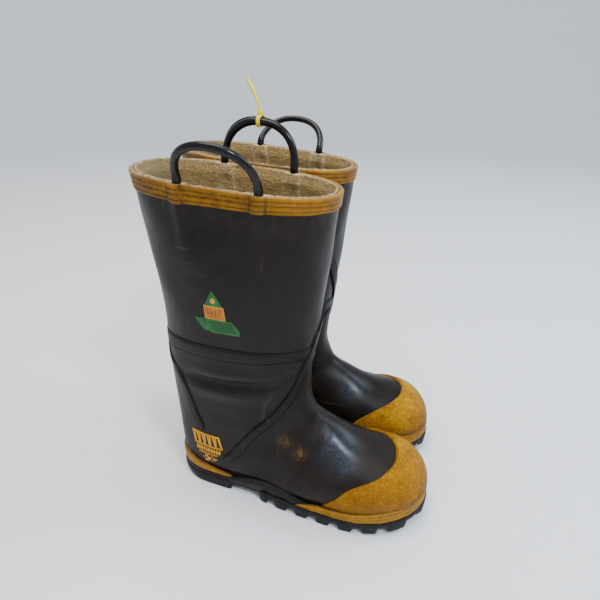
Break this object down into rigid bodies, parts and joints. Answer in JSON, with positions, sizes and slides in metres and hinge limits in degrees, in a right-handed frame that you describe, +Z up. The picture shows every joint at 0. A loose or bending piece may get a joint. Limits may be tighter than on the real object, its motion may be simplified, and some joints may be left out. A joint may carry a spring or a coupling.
{
  "type": "pair of firefighter boots",
  "caption": "Pull-on rubber fire boots with loop handles, yellow toe guards and top bands, felt lining and lugged soles, tied together at the inner handles.",
  "frame": {"origin": "middle of the pair's footprint, on the floor", "axes": "+X towards the toes, +Y to the wearer's left, +Z up"},
  "size_m": [0.3304, 0.2572, 0.4549],
  "materials": {
    "black_rubber": "satin moulded rubber, scuffed",
    "sole_rubber": "matte moulded rubber",
    "yellow_rubber": "matte pebbled rubber, worn",
    "lining_felt": "coarse woven felt",
    "footbed": "fabric-covered foam",
    "fibreboard": "pressed fibreboard",
    "steel": "pressed sheet",
    "yellow_print": "printed rubber film",
    "green_print": "printed film",
    "tie_nylon": "moulded nylon"
  },
  "bodies": {
    "right_boot": {"right_outsole": "sole_rubber", "right_insole_board": "fibreboard", "right_puncture_plate": "steel", "right_shank": "steel", "right_vamp": "black_rubber", "right_shaft": "black_rubber", "right_lining": "lining_felt", "right_insole": "footbed", "right_steel_toe_cap": "steel", "right_toe_guard": "yellow_rubber", "right_toe_bumper": "yellow_rubber", "right_foxing": "sole_rubber", "right_heel_strip": "yellow_rubber", "right_top_band": "yellow_rubber", "right_seam_band": "black_rubber", "right_ankle_strap": "black_rubber", "right_back_strap": "black_rubber", "right_heel_badge": "yellow_print", "right_leg_label": "green_print", "right_outer_anchor_rear": "black_rubber", "right_outer_anchor_front": "black_rubber", "right_inner_anchor_rear": "black_rubber", "right_inner_anchor_front": "black_rubber"},
    "right_outer_handle": {"right_outer_handle": "black_rubber"},
    "right_inner_handle": {"right_inner_handle": "black_rubber"},
    "left_boot": {"left_outsole": "sole_rubber", "left_insole_board": "fibreboard", "left_puncture_plate": "steel", "left_shank": "steel", "left_vamp": "black_rubber", "left_shaft": "black_rubber", "left_lining": "lining_felt", "left_insole": "footbed", "left_steel_toe_cap": "steel", "left_toe_guard": "yellow_rubber", "left_toe_bumper": "yellow_rubber", "left_foxing": "sole_rubber", "left_heel_strip": "yellow_rubber", "left_top_band": "yellow_rubber", "left_seam_band": "black_rubber", "left_ankle_strap": "black_rubber", "left_back_strap": "black_rubber", "left_heel_badge": "yellow_print", "left_leg_label": "green_print", "left_outer_anchor_rear": "black_rubber", "left_outer_anchor_front": "black_rubber", "left_inner_anchor_rear": "black_rubber", "left_inner_anchor_front": "black_rubber"},
    "left_outer_handle": {"left_outer_handle": "black_rubber"},
    "left_inner_handle": {"left_inner_handle": "black_rubber"},
    "cable_tie": {"cable_tie": "tie_nylon"}
  },
  "joints": [
    {"name": "boots_apart", "type": "slide", "parent": "right_boot", "child": "left_boot", "axis": [0, 1, 0], "range_m": [0, 0.025]},
    {"name": "right_inner_handle_lean", "type": "hinge", "parent": "right_boot", "child": "right_inner_handle", "pos_m": [-0.04954, -0.01389, 0.37487], "axis": [-0.998, 0.0216, 0.0597], "range_deg": [0, 18.92]},
    {"name": "left_inner_handle_lean", "type": "hinge", "parent": "left_boot", "child": "left_inner_handle", "pos_m": [-0.05454, 0.00469, 0.37487], "axis": [0.998, 0.0216, -0.0597], "range_deg": [0, 18.92]},
    {"name": "tie_level", "type": "hinge", "parent": "right_inner_handle", "child": "cable_tie", "pos_m": [-0.04722, -0.00873, 0.41447], "axis": [0.998, -0.0216, -0.0597], "range_deg": [0, 18.92]},
    {"name": "right_outer_handle_lean", "type": "hinge", "parent": "right_boot", "child": "right_outer_handle", "pos_m": [-0.05461, -0.10491, 0.37523], "axis": [0.9981, 0.0162, -0.0603], "range_deg": [-60, 20], "stiffness_Nm_per_rad": 0.4},
    {"name": "left_outer_handle_lean", "type": "hinge", "parent": "left_boot", "child": "left_outer_handle", "pos_m": [-0.04985, 0.09523, 0.37464], "axis": [-0.9967, 0.0547, 0.0594], "range_deg": [-75, 10], "stiffness_Nm_per_rad": 0.4}
  ],
  "couplings": [
    {"joint": "right_inner_handle_lean", "follows": "boots_apart", "rad_per_m": 13},
    {"joint": "left_inner_handle_lean", "follows": "boots_apart", "rad_per_m": 13},
    {"joint": "tie_level", "follows": "boots_apart", "rad_per_m": 13}
  ]
}
